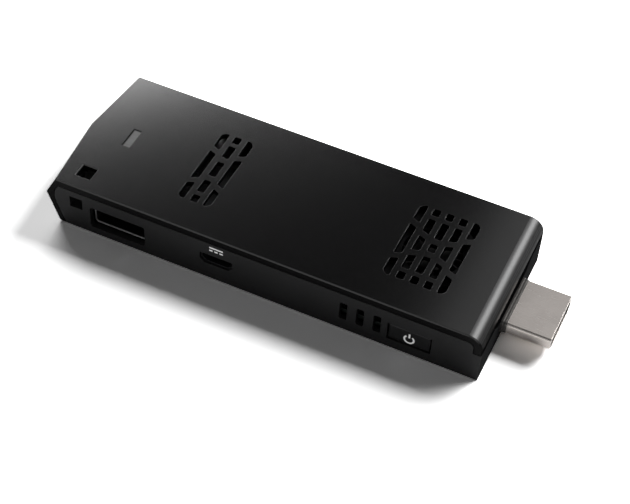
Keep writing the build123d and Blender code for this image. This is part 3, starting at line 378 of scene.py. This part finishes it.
def make_materials():
    """Every finish by a plain name."""
    return {
        "cover": moulded("cover_plastic", (0.003, 0.003, 0.0032), 0.15, depth=0.8 * MICRON,
                         wall_gloss=0.03, rolled=True),
        "tray": moulded("tray_plastic", (0.026, 0.026, 0.0268), 0.52, gloss=0.12, wall_gloss=0.1),
        "button": moulded("button_plastic", (0.005, 0.005, 0.0055), 0.4, gloss=0.2),
        "inner_black": moulded("inner_black", (0.003, 0.003, 0.0032), 0.6, gloss=0.1),
        "inner_dark": moulded("inner_dark", (0.006, 0.006, 0.0065), 0.5, gloss=0.2),
        "rotor": moulded("rotor_plastic", (0.002, 0.002, 0.0022), 0.5, gloss=0.1),
        "chip": moulded("chip_package", (0.008, 0.0082, 0.0085), 0.6, CHIP_GRAIN, gloss=0.2),
        "capacitor": moulded("fired_ceramic", (0.25, 0.19, 0.12), 0.5),
        "pad": moulded("soft_pad", (0.2, 0.24, 0.28), 0.7, depth=20 * MICRON),
        "sheath": moulded("lead_sheath", (0.02, 0.02, 0.021), 0.5, edge=None),
        "lamp": moulded("clear_lamp", (0.6, 0.6, 0.58), 0.25),
        "magnet": moulded("sintered_ferrite", (0.04, 0.04, 0.042), 0.6, depth=10 * MICRON),
        "die": metal("polished_die", (0.16, 0.17, 0.2), 0.12),
        "plug": metal("plug_nickel", (0.36, 0.334, 0.315), 0.2, (30, 1, 1), 0.06 * MICRON,
                      PLUG_EDGE),
        "collar": metal("collar_nickel", (0.07, 0.067, 0.064), 0.3, (1, 20, 1), 0.02 * MICRON),
        "socket": metal("socket_nickel", (0.42, 0.42, 0.43), 0.4, (20, 1, 1), 0.3 * MICRON,
                        shaded_inside=True),
        "nickel": metal("sheet_nickel", (0.3, 0.3, 0.31), 0.4, (20, 1, 1), 0.3 * MICRON),
        "can": metal("blackened_can", (0.02, 0.02, 0.021), 0.5, (12, 1, 1)),
        "gold": metal("contact_gold", (0.78, 0.55, 0.22), 0.25, (1, 20, 1)),
        "copper": metal("wound_copper", (0.55, 0.25, 0.12), 0.35, (1, 1, 0.2), 10 * MICRON),
        "bronze": metal("sintered_bronze", (0.42, 0.28, 0.14), 0.5),
        "screw": metal("black_oxide_steel", (0.1, 0.1, 0.105), 0.38),
        "spreader": metal("black_anodised", (0.004, 0.004, 0.0042), 0.5, (20, 1, 1)),
        "fins": metal("blackened_fins", (0.006, 0.006, 0.0064), 0.5, (1, 20, 1)),
        "board": laminate("main_laminate", (0.002, 0.003, 0.0025), (0.006, 0.01, 0.008)),
        "module": laminate("module_laminate", (0.002, 0.003, 0.005), (0.006, 0.01, 0.016)),
        "window": smoked_window("smoked_window"),
        "ink": ink("printed_white", (0.88, 0.88, 0.88)),
    }


FINISH_OF_NODE = {
    "top_cover": "cover",
    "bottom_tray": "tray",
    "status_window": "window",
    "case_screws": "screw",
    "power_button": "button",
    "switch_plunger": "inner_black",
    "switch_body": "can",
    "main_board": "board",
    "processor": "module",
    "processor_die": "die",
    "thermal_pad": "pad",
    "memory_chips": "chip",
    "storage_chip": "chip",
    "power_chip": "chip",
    "power_inductors": "magnet",
    "board_capacitors": "capacitor",
    "clock_crystal": "nickel",
    "status_lamp": "lamp",
    "wireless_module": "module",
    "wireless_shield": "can",
    "aerial_sockets": "gold",
    "aerial_lead_plugs": "can",
    "aerial_carrier": "inner_black",
    "aerial_near": "copper",
    "aerial_far": "copper",
    "aerial_lead_near": "sheath",
    "aerial_lead_far": "sheath",
    "usb_shell_near": "socket",
    "usb_tongue_near": "inner_black",
    "usb_contacts_near": "gold",
    "usb_shell_far": "socket",
    "usb_tongue_far": "inner_black",
    "usb_contacts_far": "gold",
    "power_socket_shell": "can",
    "power_socket_tongue": "inner_black",
    "power_socket_contacts": "gold",
    "card_slot_cover": "nickel",
    "card_slot_base": "inner_black",
    "card_slot_contacts": "gold",
    "plug_shell": "plug",
    "plug_insulator": "inner_black",
    "plug_contacts": "gold",
    "plug_collar": "collar",
    "heat_spreader": "spreader",
    "outlet_fins": "fins",
    "spreader_standoffs": "gold",
    "spreader_screws": "screw",
    "blower_housing": "inner_black",
    "blower_lid": "spreader",
    "blower_screws": "screw",
    "fan_impeller": "rotor",
    "fan_shaft": "nickel",
    "fan_magnet": "magnet",
    "fan_bearing": "bronze",
    "fan_stator": "copper",
    "fan_header": "inner_dark",
    "fan_lead": "sheath",
}


def dress_nodes(nodes, materials):
    """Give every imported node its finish."""
    for name, finish in FINISH_OF_NODE.items():
        for slot in nodes[name].material_slots:
            slot.material = materials[finish]


# Printed signs


def printed(name, outlines, depth_at, material, body):
    """Thin ink on a side face: outlines are lists of X and Z points, printed at a place in Y."""
    mesh = bpy.data.meshes.new(name)
    form = bmesh.new()
    for outline in outlines:
        front = [form.verts.new((x, depth_at - INK_LIFT, z)) for x, z in outline]
        back = [form.verts.new((x, depth_at + INK_SINK, z)) for x, z in outline]
        form.faces.new(front)
        form.faces.new(back[::-1])
        for here in range(len(outline)):
            after = (here + 1) % len(outline)
            form.faces.new((front[after], front[here], back[here], back[after]))
    bmesh.ops.recalc_face_normals(form, faces=form.faces)
    form.to_mesh(mesh)
    form.free()
    piece = bpy.data.objects.new(name, mesh)
    bpy.context.scene.collection.objects.link(piece)
    mesh.materials.append(material)
    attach(piece, body)


def bar(x, z, width, height):
    """Outline of an upright bar about its middle."""
    return [(x - width / 2, z - height / 2), (x + width / 2, z - height / 2),
            (x + width / 2, z + height / 2), (x - width / 2, z + height / 2)]


def ring_pieces(x, z, radius, stroke, gap, steps):
    """Outlines of a ring that is open at its top."""
    start = pi / 2 + gap
    sweep = 2 * pi - 2 * gap
    pieces = []
    for step in range(steps):
        turns = [start + sweep * (step + end) / steps for end in (0, 1)]
        outer, inner = (
            [(x + reach * cos(turn), z + reach * sin(turn)) for turn in turns]
            for reach in (radius + stroke / 2, radius - stroke / 2))
        pieces.append([outer[0], outer[1], inner[1], inner[0]])
    return pieces


def print_power_sign(materials):
    """The plain on-off sign on the button's face: an open ring and a tick."""
    low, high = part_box("power_button")
    x = (low[0] + high[0]) / 2
    z = (low[2] + high[2]) / 2 - POWER_SIGN_DROP
    outlines = ring_pieces(x, z, POWER_SIGN_RADIUS, POWER_SIGN_STROKE, POWER_SIGN_GAP,
                           POWER_SIGN_STEPS)
    outlines.append(bar(x, z + POWER_SIGN_RADIUS, POWER_SIGN_STROKE, POWER_SIGN_TICK))
    printed("power_sign", outlines, low[1], materials["ink"], "button")


def print_supply_sign(materials):
    """The plain direct-current sign above the power socket: a line over three dashes."""
    low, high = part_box("power_socket_shell")
    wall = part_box("bottom_tray")[0][1]
    x = (low[0] + high[0]) / 2
    z = high[2] + SUPPLY_SIGN_LIFT
    dash = (SUPPLY_SIGN_WIDTH - 2 * SUPPLY_SIGN_GAP) / 3
    outlines = [bar(x, z + SUPPLY_SIGN_GAP, SUPPLY_SIGN_WIDTH, SUPPLY_SIGN_STROKE)]
    for number in (-1, 0, 1):
        outlines.append(bar(x + number * (dash + SUPPLY_SIGN_GAP), z - SUPPLY_SIGN_GAP, dash,
                            SUPPLY_SIGN_STROKE))
    printed("supply_sign", outlines, wall, materials["ink"], "case")


# Studio


def place_camera():
    """Camera at the photograph's place, aim, roll and lens."""
    data = bpy.data.cameras.new("camera")
    data.lens = CAMERA_LENS
    data.sensor_width = CAMERA_SENSOR
    data.clip_start = CAMERA_NEAR
    camera = bpy.data.objects.new("camera", data)
    ahead = (Vector(CAMERA_AIM) - Vector(CAMERA_PLACE)).normalized()
    right = ahead.cross(Vector((0, 0, 1))).normalized()
    up = right.cross(ahead)
    right_rolled = right * cos(CAMERA_ROLL) + up * sin(CAMERA_ROLL)
    up_rolled = up * cos(CAMERA_ROLL) - right * sin(CAMERA_ROLL)
    axes = Matrix((right_rolled, up_rolled, -ahead)).transposed()
    camera.matrix_world = Matrix.Translation(CAMERA_PLACE) @ axes.to_4x4()
    bpy.context.scene.collection.objects.link(camera)
    bpy.context.scene.camera = camera


def card(name, place, width, depth, turn=0.0, tilt=0.0):
    """Flat stage card about its middle, tipped about its own length and then turned about Z."""
    mesh = bpy.data.meshes.new(name)
    x, y = width / 2, depth / 2
    mesh.from_pydata([(-x, -y, 0), (x, -y, 0), (x, y, 0), (-x, y, 0)], [], [(0, 1, 2, 3)])
    made = bpy.data.objects.new(name, mesh)
    made.location = place
    made.rotation_euler = (tilt, 0, turn)
    bpy.context.scene.collection.objects.link(made)
    return made


def make_floor():
    """Pale floor that keeps the shadow near the object and is plain white further out."""
    floor = card("floor", (0, 0, FLOOR_DROP), FLOOR_REACH, FLOOR_REACH)
    material, tree, shader = new_material("floor_white")
    tree.nodes.remove(shader)
    shown = ranged(tree, seen_ray(tree), (0, 1), (FLOOR_GREY, FLOOR_SHOWN))
    matt = node(tree, "ShaderNodeBsdfDiffuse", Color=shown)
    white = node(tree, "ShaderNodeEmission", Strength=1.0)
    reach = node(tree, "ShaderNodeVectorMath", operation="LENGTH", Vector=object_place(tree))
    fade = ranged(tree, reach.outputs["Value"], (FLOOR_SHADOW_REACH, FLOOR_WHITE_REACH), (0, 1),
                  interpolation_type="SMOOTHSTEP")
    mix_to_output(tree, fade, matt.outputs["BSDF"], white.outputs["Emission"], "Material Output")
    floor.data.materials.append(material)


def make_flags():
    """Black cards, as a photographer sets them between the softboxes."""
    material, tree, shader = new_material("flag_black")
    fill(tree, shader, Base_Color=FLAG_BLACK, Roughness=1.0, Specular_IOR_Level=0.0)
    for name, form in FLAGS.items():
        flag = card(name, **form)
        flag.data.materials.append(material)
        flag.visible_camera = False


def softbox(name, place, width, depth, radiance, turn=0.0):
    """Level softbox that shines down, set by the brightness of its face."""
    data = bpy.data.lights.new(name, "AREA")
    data.shape = "RECTANGLE"
    data.size = width
    data.size_y = depth
    data.energy = radiance * pi * width * depth
    lamp = bpy.data.objects.new(name, data)
    lamp.location = place
    lamp.rotation_euler = (0, 0, turn)
    bpy.context.scene.collection.objects.link(lamp)


def light_studio():
    """Softboxes whose reflections give the cover its light ends, and an even white room."""
    for name, form in SOFTBOXES.items():
        softbox(name, **form)
    world = bpy.data.worlds.new("room")
    bpy.context.scene.world = world
    world.use_nodes = True
    tree = world.node_tree
    room = tree.nodes["Background"]
    fill(tree, room, Color=WHITE, Strength=ROOM_STRENGTH)
    shown = node(tree, "ShaderNodeBackground", Color=WHITE)
    mix_to_output(tree, seen_ray(tree), room.outputs["Background"], shown.outputs["Background"],
                  "World Output")


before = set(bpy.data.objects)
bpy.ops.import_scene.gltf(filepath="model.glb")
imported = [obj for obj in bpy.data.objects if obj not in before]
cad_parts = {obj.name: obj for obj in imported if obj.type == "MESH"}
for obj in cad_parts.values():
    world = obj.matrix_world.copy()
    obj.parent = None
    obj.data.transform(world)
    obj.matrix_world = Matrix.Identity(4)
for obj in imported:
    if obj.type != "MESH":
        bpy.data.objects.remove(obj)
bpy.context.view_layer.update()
bpy.context.scene.view_settings.view_transform = "Standard"
place_camera()
finishes = make_materials()
dress_nodes(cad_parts, finishes)
print_power_sign(finishes)
print_supply_sign(finishes)
make_floor()
make_flags()
light_studio()
